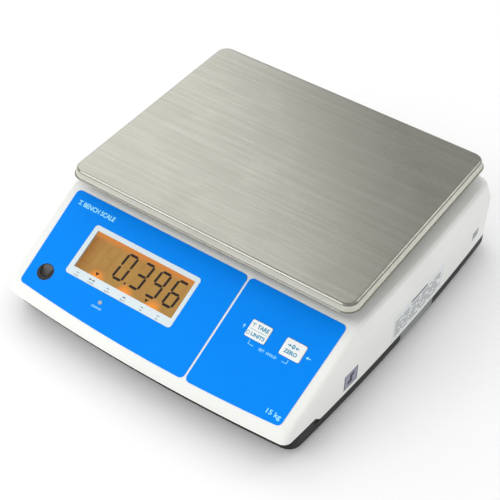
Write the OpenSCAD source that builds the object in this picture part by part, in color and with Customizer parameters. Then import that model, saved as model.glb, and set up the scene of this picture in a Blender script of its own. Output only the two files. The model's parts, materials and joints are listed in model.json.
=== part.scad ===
// Electronic bench scale: a stainless platter that lifts off, a moulded cover with a sloping
// control panel, a single-point load cell inside and four levelling feet.
// Origin: centre of the bounding box in plan, on the table that the scale stands on.
// +X is the operator's right, the operator stands on the -Y side and +Z is up.

/* [Housing] */
// Widest width of the housing, across the bowed sides
body_w = 318; // [316:0.5:322]
// Depth of the housing, from the middle of the bowed front to the back wall
body_d = 334; // [332:0.5:336]
// Height of the base tray's underside above the table
base_z = 8.5; // [8.3:0.1:8.8]
// Height of the seam between cover and base tray along the sides
seam_z = 19; // [18:0.5:20]
// Height of the same seam round the front corners, where the base tray rises
front_seam_z = 25.7; // [25:0.1:26.5]
// Height of the flat deck under the platter
deck_z = 81; // [80.5:0.1:81.5]
// Wall thickness of the moulded cover
wall = 2.5; // [2:0.1:2.6]
// Radius of the long bow of each side in plan
side_bow_r = 2450; // [2300:50:2800]
// Radius of the long bow of the front in plan
front_bow_r = 1700; // [1500:50:2000]

/* [Control panel] */
// Slope of the control panel from level
panel_slope = 24.14; // [23.5:0.1:24.5]
// Distance of the panel's upper edge in front of the origin
panel_top_y = -66; // [-67:0.5:-65.5]
// Height of the panel's upper edge
panel_top_z = 79.6; // [79.2:0.1:79.9]
// Thickness of the printed film on the panel
film = 0.4; // [0.3:0.1:0.5]
// Half width of the film at its upper edge
film_half_w = 141.4; // [140:0.1:142]
// Width of the display window
window_w = 114.7; // [113:0.1:115]
// Height of the display window, down the slope
window_h = 50.6; // [49:0.1:51]
// Width of a key
key_w = 19.6; // [18:0.1:20]
// Height of a key, down the slope
key_h = 15.8; // [15:0.1:16.5]
// How far a key is pressed in
key_travel = 0.5; // [0.3:0.1:0.5]

/* [Platter] */
// Height of the platter's top above the table
total_h = 105; // [104.8:0.1:106]
// Width of the platter at the top
pan_w = 290; // [286:1:292]
// Depth of the platter at the top
pan_d = 230; // [226:1:232]
// Distance of the platter's middle behind the origin
pan_y = 46; // [45:0.5:46.5]
// Corner radius of the platter in plan
pan_corner_r = 11; // [9:1:20]
// Thickness of the platter's sheet
pan_t = 1.2; // [1:0.1:1.5]
// Depth of the skirt below the top
skirt_h = 9; // [8:0.5:10]
// How far the skirt flares out
skirt_flare = 2; // [1:0.5:2.5]

/* [Load cell] */
// Length of the load cell
cell_l = 130; // [128:1:134]
// Width of the load cell
cell_w = 30; // [28:1:32]
// Height of the load cell
cell_h = 22; // [20:1:22]
// Half the distance between the posts across the scale
post_x = 115; // [110:1:118]
// Half the distance between the posts from front to back
post_y = 85; // [82:1:88]

/* [Feet] */
// Half the distance between the front feet
foot_front_x = 130; // [127:1:132]
// Distance of the front feet in front of the origin
foot_front_y = 130; // [127:1:132]
// Half the distance between the back feet
foot_back_x = 138; // [134:1:140]
// Distance of the back feet behind the origin
foot_back_y = 142; // [138:1:144]
// Radius of a foot's threaded stem
stem_r = 4; // [4:0.1:4.2]
// Radius of a foot's rubber pad
pad_r = 14; // [12:0.5:15]

/* [Hidden] */
$fn = 48;

// Small overrun that keeps cutting solids clear of the faces that they cut through
eps = 0.1;
// Wider than any cut across the housing
far = 400;
// Radial clearance of a shaft that turns or slides in its hole
running = 0.05;

// Plan outline
side_apex_y = 81;
cover_front_r = 8;
cover_back_r = 12;
base_front_in = 9;
base_front_y = -body_d / 2 + base_front_in;
base_corner_r = 12;
side_steps = 10;
front_steps = 12;
corner_steps = 6;

// Heights of the cover's shoulder
shoulder_z = deck_z - 19;
step_z = deck_z - 5;
shoulder_in = 3.3;
edge_in = 5.5;
// Line on each side where the base tray rises towards the front corner
rise_y = -124;

// Base tray
floor_t = 3.2;
floor_z = base_z + floor_t;
tray_wall = 2.4;
lip_h = 4;

// Panel layout: [x, distance down the slope] of each feature
window_at = [-47.55, 46.6];
lcd_at = [-47.2, 44.7];
lcd_view = [105.8, 38.3];
tare_at = [78.7, 38.5];
zero_at = [112.5, 38.6];
lamp_at = [-58.4, 81];
level_at = [-120.2, 80.5];
lamp_r = 1.9;
level_r = 8;
film_gap_x = [44.4, 46.4];
film_len = 104;
film_taper = 0.044;
film_corner_r = 4.5;
film_bow_r = 1600;
window_t = 1.2;
window_r = 3;
key_r = 1.5;
mask_t = 0.4;
lcd_t = 2.8;
board_t = 1.6;
board_n = -11.4;
board_at = [13, 49.5];
board_size = [236, 83];
board_screw_at = [[-102, 14], [128, 14], [-102, 85], [128, 85]];
lcd_n = -film - wall - 0.2;
flange_gap = 0.4;
key_proud = 0.7;
key_clear = 0.3;

// Load cell stack, from the tray upwards
plinth_h = 8;
spacer_h = 4;
spacer_l = 32;
cell_z = floor_z + plinth_h + spacer_h;
cell_top_z = cell_z + cell_h;
hub_z = cell_top_z + spacer_h;
bolt_r = 3;
bolt_head_r = 5;
bolt_head_h = 5;
bolt_in = 7;
bolt_pitch = 16;
bolt_x = [cell_l / 2 - bolt_in, cell_l / 2 - bolt_in - bolt_pitch];
arm_z = 63.5;
arm_t = 9.5;
arm_w = 16;
post_r = 6;
post_seat = 4;
post_top_z = total_h - pan_t - 3.8;
cap_r = 8;
cap_h = 10.8;
post_hole_r = 10.5;
cup_wall = 2.6;
cup_h = 7;
stop_share = 0.45;
stop_gap = 0.8;

// Battery bay and its door
battery_size = [101, 70, 47];
battery_at = [-75, -37];
bay_size = [102.2, 79];
door_margin = 4.2;
door_t = 1.5;
door_recess = 1.8;
door_travel = 8;
door_gap = 0.3;
hook_l = 10;
hook_x = 35;
hook_reach = 3;
hook_t = 1.5;

// Power switch, seen from below
switch_at = [112, -60];
switch_size = [19, 13];
rocker_size = [13.6, 9.2];
rocker_tilt = 7;
pivot_z = base_z + 3.4;
pivot_r = 1.15;

// DC inlet in its pocket in the back wall
inlet_at = [-95, 37];
pocket_size = [34, 20];
pocket_depth = 7;
inlet_r = 5.4;

// Cover screws: [x, y]
screw_at = [[-146, 100], [146, 100], [-143, -75], [143, -75]];
pillar_r = 4.5;
pillar_z = floor_z + 9;
screw_r = 1.6;

// Feet
feet_at = [[-foot_front_x, -foot_front_y], [foot_front_x, -foot_front_y],
           [-foot_back_x, foot_back_y], [foot_back_x, foot_back_y]];
boss_r = 9;
boss_top_z = base_z + 21;
insert_r = 6;
insert_h = 12;
pad_h = 3;
wheel_r = 12.5;
wheel_z = 3.3;
wheel_h = 3;
stem_top_z = 25;
toe_r = 2.5;

// ---- Plan outlines -------------------------------------------------------------------

function unit(v) = v / norm(v);

// Half width of the housing at y, set in by inset
function side_x(y, inset) = body_w / 2 - inset - pow(y - side_apex_y, 2) / (2 * side_bow_r);

// Front edge of the housing at x, set in by inset
function front_y(x, inset) = -body_d / 2 + inset + x * x / (2 * front_bow_r);

// Points that round the corner p = [x, y, radius] between its neighbours a and b
function corner(a, p, b) =
    p[2] == 0 ? [[p[0], p[1]]] :
    let (q = [p[0], p[1]],
         u = unit([a[0], a[1]] - q),
         v = unit([b[0], b[1]] - q),
         half = acos(u * v) / 2,
         c = q + unit(u + v) * p[2] / sin(half),
         s = q + u * p[2] / tan(half) - c,
         e = q + v * p[2] / tan(half) - c,
         start = atan2(s[1], s[0]),
         sweep = (atan2(e[1], e[0]) - start + 540) % 360 - 180)
    [for (k = [0:corner_steps]) c + p[2] * [cos(start + sweep * k / corner_steps),
                                            sin(start + sweep * k / corner_steps)]];

// A closed outline of [x, y, radius] points with its corners rounded
function rounded(pts) =
    [for (i = [0:len(pts) - 1])
        each corner(pts[(i + len(pts) - 1) % len(pts)], pts[i], pts[(i + 1) % len(pts)])];

// Points up one bowed side, from y0 to y1, on the side of sign
function side_points(y0, y1, inset, sign) =
    [for (i = [1:side_steps - 1]) let (y = y0 + (y1 - y0) * i / side_steps)
        [sign * side_x(y, inset), y, 0]];

// Points along the bowed front, from -xf to xf
function front_points(xf, inset) =
    [for (j = [1:front_steps - 1]) let (x = xf * (2 * j / front_steps - 1))
        [x, front_y(x, inset), 0]];

function cover_outline(inset) =
    let (x0 = side_x(-body_d / 2, inset), yf = front_y(x0, inset), yb = body_d / 2 - inset,
         xf = side_x(yf, inset), xb = side_x(yb, inset))
    concat([[xf, yf, cover_front_r - inset]],
           side_points(yf, yb, inset, 1),
           [[xb, yb, cover_back_r - inset], [-xb, yb, cover_back_r - inset]],
           side_points(yb, yf, inset, -1),
           [[-xf, yf, cover_front_r - inset]],
           front_points(xf, inset));

function base_outline(inset) =
    let (x0 = side_x(base_front_y, inset), yf = front_y(x0, inset + base_front_in),
         yb = body_d / 2 - inset, xf = side_x(yf, inset), xb = side_x(yb, inset))
    concat([[xf, yf, base_corner_r - inset]],
           side_points(yf, yb, inset, 1),
           [[xb, yb, cover_back_r - inset], [-xb, yb, cover_back_r - inset]],
           side_points(yb, yf, inset, -1),
           [[-xf, yf, base_corner_r - inset]],
           front_points(xf, inset + base_front_in));

// ---- Shared shapes -------------------------------------------------------------------

// A profile in Y and Z, run along X
module along_x(length) {
    rotate([90, 0, 90]) linear_extrude(length, center = true) children();
}

// A profile in X and Z, run along Y
module along_y(length) {
    rotate([90, 0, 0]) linear_extrude(length, center = true) children();
}

// Panel coordinates: x, -distance down the slope, height above the film's face
module on_panel(at) {
    translate([0, panel_top_y, panel_top_z]) rotate([panel_slope, 0, 0])
        translate([at[0], -at[1], 0]) children();
}

// A block in panel coordinates, centred on the child's origin, from height n0 to n1
module panel_block(size, n0, n1) {
    translate([-size[0] / 2, -size[1] / 2, n0]) cube([size[0], size[1], n1 - n0]);
}

// The same with rounded corners
module rounded_block(size, r, n0, n1) {
    x = size[0] / 2;
    y = size[1] / 2;
    translate([0, 0, n0]) linear_extrude(n1 - n0)
        polygon(rounded([[-x, -y, r], [x, -y, r], [x, y, r], [-x, y, r]]));
}

module tube(r, z0, z1) {
    translate([0, 0, z0]) cylinder(r = r, h = z1 - z0);
}

// A block from one corner to the opposite one
module span(a, b) {
    translate(a) cube(b - a);
}

// [y, z] of the point s down the panel and n above it
function panel_pt(s, n) = [panel_top_y - s * cos(panel_slope) - n * sin(panel_slope),
                           panel_top_z - s * sin(panel_slope) + n * cos(panel_slope)];

// Distance down the panel, at height n, where it meets the level z
function s_at(z, n) = (panel_top_z + n * cos(panel_slope) - z) / sin(panel_slope);

// ---- Base tray -----------------------------------------------------------------------

module tray_shell() {
    difference() {
        union() {
            span_outline(base_z + 1, seam_z, 0);
            span_outline(base_z, base_z + 1, 1);
            intersection() {
                span_outline(seam_z - 1, front_seam_z, 0);
                span([-far, -far, 0], [far, rise_y - eps, far]);
            }
            span_outline(seam_z - 1, seam_z + lip_h, wall + eps);
            intersection() {
                span_outline(seam_z - 1, front_seam_z + lip_h, wall + eps);
                span([-far, -far, 0], [far, rise_y - eps, far]);
            }
        }
        span_outline(floor_z, far, wall + eps + tray_wall);
        span_outline(floor_z, seam_z - 3, tray_wall);
    }
}

module span_outline(z0, z1, inset) {
    translate([0, 0, z0]) linear_extrude(z1 - z0) polygon(rounded(base_outline(inset)));
}

module base_tray() {
    color("#1c1d1f") difference() {
        union() {
            tray_shell();
            for (p = feet_at) translate(p) tube(boss_r, base_z, boss_top_z);
            for (p = screw_at) translate(p) tube(pillar_r + 1, base_z, pillar_z);
            for (p = stops_at()) translate(p) tube(5, base_z, 50);
            span([-cell_l / 2 - 4, pan_y - cell_w / 2 - 4, base_z],
                 [-cell_l / 2 + spacer_l + 4, pan_y + cell_w / 2 + 4, floor_z + plinth_h]);
            bay_end_wall(-bay_size[0] / 2 - 2.5);
            bay_end_wall(bay_size[0] / 2);
        }
        for (p = feet_at) translate(p) {
            tube(insert_r, base_z - eps, base_z + insert_h);
            tube(stem_r + 0.6, base_z, boss_top_z + eps);
        }
        for (p = screw_at) translate(p) {
            tube(screw_r + 0.3, base_z - eps, pillar_z + eps);
            tube(4, base_z - eps, floor_z + 1);
        }
        for (p = stops_at()) translate(p) tube(bolt_r, 35, 50 + eps);
        for (x = bolt_x) translate([-x, pan_y]) {
            tube(bolt_r + running, base_z - eps, far);
            tube(bolt_head_r + 0.4, base_z - eps, base_z + bolt_head_h);
        }
        battery_opening();
        translate(switch_at)
            span([-switch_size[0] / 2 - eps, -switch_size[1] / 2 - eps, base_z - 1],
                 [switch_size[0] / 2 + eps, switch_size[1] / 2 + eps, floor_z + 1]);
    }
}

// Upright plate of the base tray that keeps an end of the battery in place
module bay_end_wall(x) {
    translate([battery_at[0] + x, battery_at[1], 0])
        span([0, -30, base_z], [2.5, 30, floor_z + 30]);
}

// The opening that the battery goes through, the door's recess and the slots for its hooks
module battery_opening() {
    translate(battery_at) {
        span([-bay_size[0] / 2, -bay_size[1] / 2, base_z - 1],
             [bay_size[0] / 2, bay_size[1] / 2, floor_z + eps]);
        span([-bay_size[0] / 2 - door_margin, -bay_size[1] / 2 - door_margin, base_z - 1],
             [bay_size[0] / 2 + door_margin + door_travel,
              bay_size[1] / 2 + door_margin, base_z + door_recess]);
        for (x = [-hook_x, hook_x])
            span([x + door_travel - hook_l / 2 - 0.4, -bay_size[1] / 2 - hook_reach - 0.4, base_z],
                 [x + door_travel + hook_l / 2 + 0.4, bay_size[1] / 2 + hook_reach + 0.4,
                  floor_z + eps]);
    }
}

// Overload stops stand under the spider's arms
function stops_at() =
    [for (sx = [-1, 1], sy = [-1, 1]) [sx * post_x, pan_y / stop_share + sy * post_y] * stop_share];

// ---- Cover ---------------------------------------------------------------------------

// Cross-section of the cover from front to back, seen from the right
cover_side = [
    [body_d / 2, seam_z],
    [body_d / 2, shoulder_z],
    [body_d / 2 - shoulder_in, step_z],
    [body_d / 2 - shoulder_in - 0.7, deck_z - 1.3],
    [body_d / 2 - edge_in, deck_z],
    panel_pt(s_at(deck_z, -film), -film),
    panel_pt(film_len + 0.6, -film),
    [-body_d / 2, front_seam_z + 1],
    [-body_d / 2, front_seam_z],
    [rise_y, front_seam_z],
    [rise_y, seam_z]
];

cavity_side = [
    [body_d / 2 - wall, 0],
    [body_d / 2 - wall, shoulder_z - 1],
    [body_d / 2 - wall - shoulder_in, step_z - 1],
    [body_d / 2 - wall - edge_in, deck_z - wall],
    panel_pt(s_at(deck_z - wall, -film - wall), -film - wall),
    panel_pt(film_len - 1.2, -film - wall),
    [-body_d / 2 + wall + 0.8, front_seam_z + wall],
    [base_front_y, front_seam_z + wall],
    [base_front_y, 0]
];

// Half cross-section from the middle to the right side, at the widest place
cover_half = [[0, 0], [body_w / 2, 0], [body_w / 2, shoulder_z],
              [body_w / 2 - shoulder_in, step_z],
              [body_w / 2 - shoulder_in - 0.7, deck_z - 1.3],
              [body_w / 2 - edge_in, deck_z], [0, deck_z]];

cavity_half = [[0, 0], [body_w / 2 - wall, 0], [body_w / 2 - wall, shoulder_z - 1],
               [body_w / 2 - wall - shoulder_in, step_z - 1],
               [body_w / 2 - wall - edge_in, deck_z - wall], [0, deck_z - wall]];

module both_halves(half) {
    polygon(half);
    mirror([1, 0]) polygon(half);
}

module cover_solid() {
    intersection() {
        linear_extrude(far) polygon(rounded(cover_outline(0)));
        along_x(far) polygon(cover_side);
        along_y(far) both_halves(cover_half);
    }
}

module cover_cavity() {
    intersection() {
        linear_extrude(far) polygon(rounded(cover_outline(wall)));
        along_x(far) polygon(cavity_side);
        along_y(far) both_halves(cavity_half);
    }
}

// What stands inside the cover: screw pillars, board bosses and the inlet's pocket
module cover_inside() {
    for (p = screw_at) translate(p) tube(pillar_r, pillar_z, far);
    for (p = board_screw_at) on_panel(p) tube(3.5, board_n, 0);
    span([inlet_at[0] - pocket_size[0] / 2 - 2, body_d / 2 - pocket_depth - 2,
          inlet_at[1] - pocket_size[1] / 2 - 2],
         [inlet_at[0] + pocket_size[0] / 2 + 2, body_d / 2, inlet_at[1] + pocket_size[1] / 2 + 2]);
}

module top_cover() {
    color("#e9ebe8") difference() {
        cover_solid();
        difference() {
            cover_cavity();
            cover_inside();
        }
        for (sx = [-1, 1], sy = [-1, 1])
            translate([sx * post_x, pan_y + sy * post_y]) tube(post_hole_r, deck_z - 5, deck_z + 1);
        for (p = screw_at) translate(p) tube(screw_r, pillar_z - eps, pillar_z + 16);
        for (p = board_screw_at) on_panel(p) tube(1.2, board_n - eps, board_n + 6);
        on_panel(window_at) {
            rounded_block([window_w, window_h], window_r, -window_t - mask_t, 1);
            panel_block([window_w - 6, window_h - 8], -far / 20, 1);
        }
        on_panel(tare_at) key_well();
        on_panel(zero_at) key_well();
        on_panel(lamp_at) tube(lamp_r + eps, -5, 1);
        on_panel(level_at) tube(level_r, -5, 1);
        translate([inlet_at[0], body_d / 2, inlet_at[1]]) {
            span([-pocket_size[0] / 2, -pocket_depth, -pocket_size[1] / 2],
                 [pocket_size[0] / 2, eps, pocket_size[1] / 2]);
            rotate([90, 0, 0]) tube(inlet_r + running, 0, pocket_depth + 5);
        }
    }
}

module key_well() {
    rounded_block([key_w + 2 * key_clear, key_h + 2 * key_clear], key_r + key_clear, -5, 1);
}

module board_screws() {
    color("silver") for (p = board_screw_at) on_panel(p) {
        tube(1.2, board_n - board_t, board_n + 5);
        tube(2.6, board_n - board_t - 1.8, board_n - board_t);
    }
}

module cover_screws() {
    color("silver") for (p = screw_at) translate(p) {
        tube(screw_r, floor_z + 1, pillar_z + 14);
        difference() {
            tube(3.6, floor_z - 1.6, floor_z + 1);
            translate([0, 0, floor_z - 2]) cube([4.4, 0.9, 3], center = true);
            translate([0, 0, floor_z - 2]) cube([0.9, 4.4, 3], center = true);
        }
    }
}

// ---- Control panel -------------------------------------------------------------------

// Lower edge of the film at x, as a distance down the slope
function film_end(x) = film_len - x * x / (2 * film_bow_r);

// Outline of one film from x0 to x1 at the upper edge; skew is the lean of each side edge
function film_outline(x0, x1, skew0, skew1, steps = 6) =
    let (e0 = x0 + skew0 * film_len, e1 = x1 + skew1 * film_len)
    concat([[x0, 0, film_corner_r], [x1, 0, film_corner_r], [e1, -film_end(e1), film_corner_r]],
           [for (i = [1:steps - 1]) let (x = e1 + (e0 - e1) * i / steps) [x, -film_end(x), 0]],
           [[e0, -film_end(e0), film_corner_r]]);

module film_sheet(outline) {
    translate([0, 0, -film]) linear_extrude(film) polygon(rounded(outline));
}

module overlay_left() {
    color("#018efe") difference() {
        on_panel([0, 0])
            film_sheet(film_outline(-film_half_w, film_gap_x[0], film_taper, -0.002));
        on_panel(window_at) rounded_block([window_w, window_h], window_r, -1, 1);
        on_panel(lamp_at) tube(lamp_r + eps, -1, 1);
        on_panel(level_at) tube(level_r, -1, 1);
    }
}

module overlay_right() {
    color("#018efe") difference() {
        on_panel([0, 0])
            film_sheet(film_outline(film_gap_x[1], film_half_w, -0.002, -film_taper));
        on_panel(tare_at) key_well();
        on_panel(zero_at) key_well();
    }
}

module display_window() {
    color("#dfe6ea") on_panel(window_at)
        rounded_block([window_w - eps, window_h - eps], window_r, -window_t, 0);
}

module display_mask() {
    color("white") difference() {
        on_panel(window_at)
            rounded_block([window_w - eps, window_h - eps], window_r,
                          -window_t - mask_t, -window_t);
        on_panel(lcd_at) panel_block(lcd_view, -5, 1);
    }
}

module lcd_glass() {
    color("#b88c50") on_panel(lcd_at)
        panel_block([lcd_view[0] + 8, lcd_view[1] + 8], lcd_n - lcd_t, lcd_n);
}

module lcd_backlight() {
    color("#f08c3c") on_panel(lcd_at)
        panel_block([lcd_view[0] + 6, lcd_view[1] + 7], board_n, lcd_n - lcd_t);
}

module main_board() {
    color("#1f6b3a") difference() {
        on_panel(board_at) panel_block(board_size, board_n - board_t, board_n);
        for (p = board_screw_at) on_panel(p) tube(1.2, board_n - 3, board_n + 1);
    }
}

module key_switches() {
    color("#303030") for (p = [tare_at, zero_at]) on_panel(p) {
        panel_block([6.2, 6.2], board_n, board_n + 3.5);
        tube(1.7, board_n + 3.5, board_n + 4.4);
    }
}

// A key: cap, flange that keeps it under the cover, and the stem that meets the switch
module key_cap() {
    rounded_block([key_w, key_h], key_r, -film - wall - flange_gap, key_proud);
    rounded_block([key_w + 3, key_h + 3], key_r,
                  -film - wall - flange_gap - 1.2, -film - wall - flange_gap);
    tube(2, board_n + 4.4 + key_travel + key_clear, -film - wall - flange_gap - 1.2);
}

module key_tare() { color("#f4f5f3") on_panel(tare_at) key_cap(); }

module key_zero() { color("#f4f5f3") on_panel(zero_at) key_cap(); }

module charge_lamp() {
    color("#dcdcd4") on_panel(lamp_at) {
        tube(lamp_r, board_n, 0);
        tube(lamp_r + 0.8, board_n, board_n + 1);
    }
}

// The level's well is upright, so that the vial lies level inside the sloping panel
module level_well(r, z0, z1) {
    on_panel(level_at) translate([0, 0, -4]) rotate([-panel_slope, 0, 0]) tube(r, z0, z1);
}

module level_case() {
    color("#141414") difference() {
        on_panel(level_at) {
            tube(level_r - running, -4, 0);
            tube(level_r + 3.5, -14, -film - wall);
        }
        level_well(5.9, -6, 20);
    }
}

module level_vial() {
    color("#4a4438") level_well(5.9, -6, -1);
}

// ---- Load cell and what it carries ---------------------------------------------------

// Bores of the double beam, joined by a slot
cell_bore_r = 7.5;
cell_bore_x = 16;

module load_cell() {
    color("#c3c6c9") difference() {
        translate([0, pan_y, 0]) span([-cell_l / 2, -cell_w / 2, cell_z],
                                      [cell_l / 2, cell_w / 2, cell_top_z]);
        translate([0, pan_y, cell_z + cell_h / 2]) {
            for (sx = [-1, 1]) translate([sx * cell_bore_x, 0, 0])
                rotate([90, 0, 0]) cylinder(r = cell_bore_r, h = cell_w + 2, center = true);
            cube([2 * cell_bore_x, cell_w + 2, 6], center = true);
        }
        for (x = bolt_x) {
            translate([-x, pan_y]) tube(bolt_r + running, cell_z - eps, cell_z + 14);
            translate([x, pan_y]) tube(bolt_r + running, cell_top_z - 14, cell_top_z + eps);
        }
    }
}

module spacer_plate(sign, z0) {
    difference() {
        span([sign > 0 ? cell_l / 2 - spacer_l : -cell_l / 2, pan_y - cell_w / 2, z0],
             [sign > 0 ? cell_l / 2 : -cell_l / 2 + spacer_l, pan_y + cell_w / 2, z0 + spacer_h]);
        for (x = bolt_x) translate([sign * x, pan_y])
            tube(bolt_r + running, z0 - eps, z0 + spacer_h + eps);
    }
}

module cell_lower_spacer() { color("#9a9ea2") spacer_plate(-1, floor_z + plinth_h); }

module cell_upper_spacer() { color("#9a9ea2") spacer_plate(1, cell_top_z); }

// A socket-head bolt from z0 at its head's face to z1 at its tip
module socket_bolt(z0, z1) {
    up = sign(z1 - z0);
    difference() {
        union() {
            tube(bolt_r, min(z0, z1), max(z0, z1));
            tube(bolt_head_r, min(z0, z0 + up * bolt_head_h), max(z0, z0 + up * bolt_head_h));
        }
        tube(2.9, min(z0 - up, z0 + up * 3), max(z0 - up, z0 + up * 3), $fn = 6);
    }
}

module cell_lower_bolts() {
    color("#55585c") for (x = bolt_x) translate([-x, pan_y]) socket_bolt(base_z, cell_z + 12);
}

module cell_upper_bolts() {
    color("#55585c") for (x = bolt_x) translate([x, pan_y])
        socket_bolt(arm_z + arm_t, cell_top_z - 12);
}

module overload_stops() {
    color("#55585c") for (p = stops_at()) translate(p) {
        tube(bolt_r, 36, arm_z - stop_gap - 3);
        tube(bolt_head_r, arm_z - stop_gap - 4, arm_z - stop_gap);
    }
}

module spider_arm(p) {
    len_xy = norm(p);
    rotate([0, 0, atan2(p[1], p[0])]) {
        span([0, -arm_w / 2, arm_z], [len_xy, arm_w / 2, arm_z + 4]);
        span([0, -2.5, arm_z], [len_xy - arm_w / 2, 2.5, arm_z + arm_t]);
    }
}

module spider() {
    color("#a9adb0") difference() {
        translate([0, pan_y, 0]) {
            for (sx = [-1, 1], sy = [-1, 1]) {
                spider_arm([sx * post_x, sy * post_y]);
                translate([sx * post_x, sy * post_y])
                    tube(arm_w / 2 + 1, arm_z, arm_z + post_seat);
            }
            span([-34, -20, arm_z], [cell_l / 2 + 4, 20, arm_z + arm_t]);
            span([cell_l / 2 - spacer_l, -cell_w / 2, hub_z], [cell_l / 2, cell_w / 2, arm_z]);
        }
        for (x = bolt_x) translate([x, pan_y]) {
            tube(bolt_r + running, hub_z - eps, far);
            tube(bolt_head_r + 0.4, arm_z + arm_t - bolt_head_h, far);
        }
    }
}

module spider_posts() {
    color("#b4b7ba") for (sx = [-1, 1], sy = [-1, 1])
        translate([sx * post_x, pan_y + sy * post_y])
            tube(post_r, arm_z + post_seat, post_top_z);
}

module post_caps() {
    color("#2a2a2a") for (sx = [-1, 1], sy = [-1, 1])
        translate([sx * post_x, pan_y + sy * post_y]) difference() {
            tube(cap_r, total_h - pan_t - cap_h, total_h - pan_t);
            tube(post_r, total_h - pan_t - cap_h - eps, post_top_z);
        }
}

// Cable from the load cell's side, forward under the board and up to it
module cell_cable() {
    z = cell_z + cell_h / 2;
    color("#8f9296") translate([28, 0, z]) {
        translate([0, pan_y - cell_w / 2, 0]) rotate([90, 0, 0]) cylinder(r = 2, h = 111);
        translate([0, -80, 8]) rotate([0, 90, 0]) rotate([0, 0, 180])
            rotate_extrude(angle = -90) translate([8, 0]) circle(r = 2);
        translate([0, -88, 8]) cylinder(r = 2, h = 11);
    }
}

// ---- Platter -------------------------------------------------------------------------

bend_r = 3;
bend_steps = 5;

// Section of the platter outwards from a corner's centre: flat, bend and flared skirt
function pan_section() =
    let (out = [pan_corner_r, total_h],
         lean = [skirt_flare, -skirt_h])
    concat([[0, total_h]],
           [for (k = [0:bend_steps]) let (a = 90 - 90 * k / bend_steps)
               out + [-bend_r, -bend_r] + bend_r * [cos(a), sin(a)]],
           [out + lean, out + lean - [pan_t, 0]],
           [for (k = [0:bend_steps]) let (a = 90 * k / bend_steps)
               out + [-bend_r, -bend_r] + (bend_r - pan_t) * [cos(a), sin(a)]],
           [[0, total_h - pan_t]]);

module platter() {
    cx = pan_w / 2 - pan_corner_r;
    cy = pan_d / 2 - pan_corner_r;
    color("#a7a597") translate([0, pan_y, 0]) {
        for (sx = [0, 1], sy = [0, 1]) mirror([sx, 0, 0]) mirror([0, sy, 0])
            translate([cx, cy, 0]) rotate_extrude(angle = 90) polygon(pan_section());
        for (sx = [0, 1]) mirror([sx, 0, 0]) translate([cx, 0, 0])
            along_y(2 * cy) polygon(pan_section());
        for (sy = [0, 1]) mirror([0, sy, 0]) translate([0, cy, 0])
            along_x(2 * cx) polygon(pan_section());
        span([-cx, -cy, total_h - pan_t], [cx, cy, total_h]);
    }
}

module platter_cups() {
    color("#3a3a3a") for (sx = [-1, 1], sy = [-1, 1])
        translate([sx * post_x, pan_y + sy * post_y]) difference() {
            tube(cap_r + 0.35 + cup_wall, total_h - pan_t - cup_h, total_h - pan_t);
            tube(cap_r + 0.35, total_h - pan_t - cup_h - eps, total_h - pan_t + eps);
        }
}

// ---- Battery and its door ------------------------------------------------------------

module battery() {
    color("#2b2d33") translate([battery_at[0], battery_at[1], floor_z + 0.6]) {
        span([-battery_size[0] / 2, -battery_size[1] / 2, 0],
             [battery_size[0] / 2, battery_size[1] / 2, battery_size[2] - 3]);
        span([-battery_size[0] / 2 + 2, -battery_size[1] / 2 + 2, battery_size[2] - 3],
             [battery_size[0] / 2 - 2, battery_size[1] / 2 - 2, battery_size[2]]);
    }
}

module battery_door() {
    half = bay_size / 2;
    color("#222326") translate([battery_at[0], battery_at[1], base_z]) {
        span([-half[0] - door_margin + door_gap, -half[1] - door_margin + door_gap, 0],
             [half[0] + door_margin - door_gap, half[1] + door_margin - door_gap, door_t]);
        for (x = [-30, 0, 30])
            span([x - 1, -28, door_t], [x + 1, 28, floor_t]);
        for (x = [-hook_x, hook_x], side = [0, 1]) mirror([0, side, 0]) translate([x, half[1], 0]) {
            span([-hook_l / 2, -2.4, door_t], [hook_l / 2, -0.4, floor_t + door_gap + hook_t]);
            span([-hook_l / 2, -2.4, floor_t + door_gap],
                 [hook_l / 2, hook_reach, floor_t + door_gap + hook_t]);
        }
        span([half[0] - 12, -14, door_t], [half[0] - 10.5, 14, floor_t]);
    }
}

// ---- Power switch --------------------------------------------------------------------

module switch_frame() {
    half = switch_size / 2;
    color("#101113") translate(switch_at) {
        difference() {
            union() {
                span([-half[0], -half[1], base_z], [half[0], half[1], base_z + 15]);
                span([-half[0] - 1.5, -half[1] - 1.5, base_z - 1.2],
                     [half[0] + 1.5, half[1] + 1.5, base_z]);
            }
            span([-8.4, -rocker_size[1] / 2 - 0.3, base_z - 2],
                 [8.4, rocker_size[1] / 2 + 0.3, pivot_z + 6]);
        }
        translate([0, 0, pivot_z]) rotate([90, 0, 0])
            cylinder(r = pivot_r, h = rocker_size[1] + 1, center = true);
        for (x = [-4, 4]) span([x - 0.4, -2.4, base_z + 15], [x + 0.4, 2.4, base_z + 22]);
    }
}

module power_rocker() {
    half = rocker_size[0] / 2;
    color("#b3202a") translate([switch_at[0], switch_at[1], pivot_z]) rotate([0, rocker_tilt, 0])
        difference() {
            along_y(rocker_size[1])
                polygon([[-half, 2.8], [half, 2.8], [half, -4], [0, -3.1], [-half, -4]]);
            rotate([90, 0, 0])
                cylinder(r = pivot_r + running, h = rocker_size[1] + 1, center = true);
        }
}

// ---- DC inlet ------------------------------------------------------------------------

module inlet_axis() {
    translate([inlet_at[0], body_d / 2 - pocket_depth, inlet_at[1]]) rotate([-90, 0, 0])
        children();
}

module dc_inlet() {
    color("#0f0f10") inlet_axis() {
        difference() {
            union() {
                tube(inlet_r, -14, 0);
                tube(inlet_r + 2, 0, 2);
            }
            tube(2.75, -7, 2 + eps);
        }
        tube(1, -7, 1.2);
    }
}

module inlet_nut() {
    color("#b9bbbd") inlet_axis() difference() {
        tube(8.2, -4.4, -2, $fn = 6);
        tube(inlet_r, -5, -1);
    }
}

// ---- Feet ----------------------------------------------------------------------------

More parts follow.
